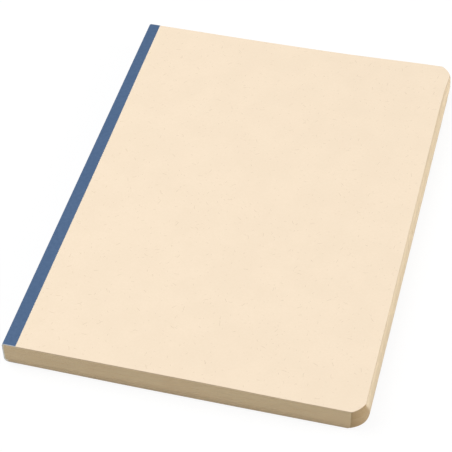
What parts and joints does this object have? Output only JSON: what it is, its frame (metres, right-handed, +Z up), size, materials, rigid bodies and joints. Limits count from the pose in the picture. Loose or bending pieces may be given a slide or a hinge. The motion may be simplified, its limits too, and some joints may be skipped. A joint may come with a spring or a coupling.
{
  "type": "softcover notebook",
  "caption": "A5 softcover notebook with a paper-taped spine, sewn signatures of plain recycled paper and card covers with rounded fore-edge corners.",
  "frame": {"origin": "middle of the closed notebook's footprint, on the surface that it lies on", "axes": "+X from the spine to the fore edge, +Y from tail to head, +Z up through the front cover"},
  "size_m": [0.1492, 0.21, 0.0114],
  "materials": {
    "cover_card": "matte",
    "page_paper": "matte",
    "spine_tape": "matte",
    "spine_lining": "matte",
    "sewing_thread": "matte"
  },
  "bodies": {
    "back_half": {"signature_01_sheet_1": "page_paper", "signature_01_sheet_2": "page_paper", "signature_01_sheet_3": "page_paper", "signature_01_sheet_4": "page_paper", "signature_01_thread": "sewing_thread", "signature_02_sheet_1": "page_paper", "signature_02_sheet_2": "page_paper", "signature_02_sheet_3": "page_paper", "signature_02_sheet_4": "page_paper", "signature_02_thread": "sewing_thread", "signature_03_sheet_1": "page_paper", "signature_03_sheet_2": "page_paper", "signature_03_sheet_3": "page_paper", "signature_03_sheet_4": "page_paper", "signature_03_thread": "sewing_thread", "signature_04_sheet_1": "page_paper", "signature_04_sheet_2": "page_paper", "signature_04_sheet_3": "page_paper", "signature_04_sheet_4": "page_paper", "signature_04_thread": "sewing_thread", "signature_05_sheet_1": "page_paper", "signature_05_sheet_2": "page_paper", "signature_05_sheet_3": "page_paper", "signature_05_sheet_4": "page_paper", "signature_05_thread": "sewing_thread", "spine_lining_back": "spine_lining", "tape_spine_back": "spine_tape"},
    "back_cover": {"back_cover": "cover_card", "tape_back_flap": "spine_tape"},
    "front_half": {"signature_06_sheet_1": "page_paper", "signature_06_sheet_2": "page_paper", "signature_06_sheet_3": "page_paper", "signature_06_sheet_4": "page_paper", "signature_06_thread": "sewing_thread", "signature_07_sheet_1": "page_paper", "signature_07_sheet_2": "page_paper", "signature_07_sheet_3": "page_paper", "signature_07_sheet_4": "page_paper", "signature_07_thread": "sewing_thread", "signature_08_sheet_1": "page_paper", "signature_08_sheet_2": "page_paper", "signature_08_sheet_3": "page_paper", "signature_08_sheet_4": "page_paper", "signature_08_thread": "sewing_thread", "signature_09_sheet_1": "page_paper", "signature_09_sheet_2": "page_paper", "signature_09_sheet_3": "page_paper", "signature_09_sheet_4": "page_paper", "signature_09_thread": "sewing_thread", "signature_10_sheet_1": "page_paper", "signature_10_sheet_2": "page_paper", "signature_10_sheet_3": "page_paper", "signature_10_sheet_4": "page_paper", "signature_10_thread": "sewing_thread", "spine_lining_front": "spine_lining", "tape_spine_front": "spine_tape"},
    "front_cover": {"front_cover": "cover_card", "tape_front_flap": "spine_tape"}
  },
  "joints": [
    {"name": "front_cover_hinge", "type": "hinge", "parent": "front_half", "child": "front_cover", "pos_m": [-0.07465, 0, 0.01144], "axis": [0, -1, 0], "range_deg": [0, 180]},
    {"name": "middle_opening", "type": "hinge", "parent": "back_half", "child": "front_half", "pos_m": [-0.07465, 0, 0.00571], "axis": [0, -1, 0], "range_deg": [0, 180]},
    {"name": "back_cover_hinge", "type": "hinge", "parent": "back_half", "child": "back_cover", "pos_m": [-0.07465, 0, -0.00002], "axis": [0, 1, 0], "range_deg": [0, 180]}
  ]
}
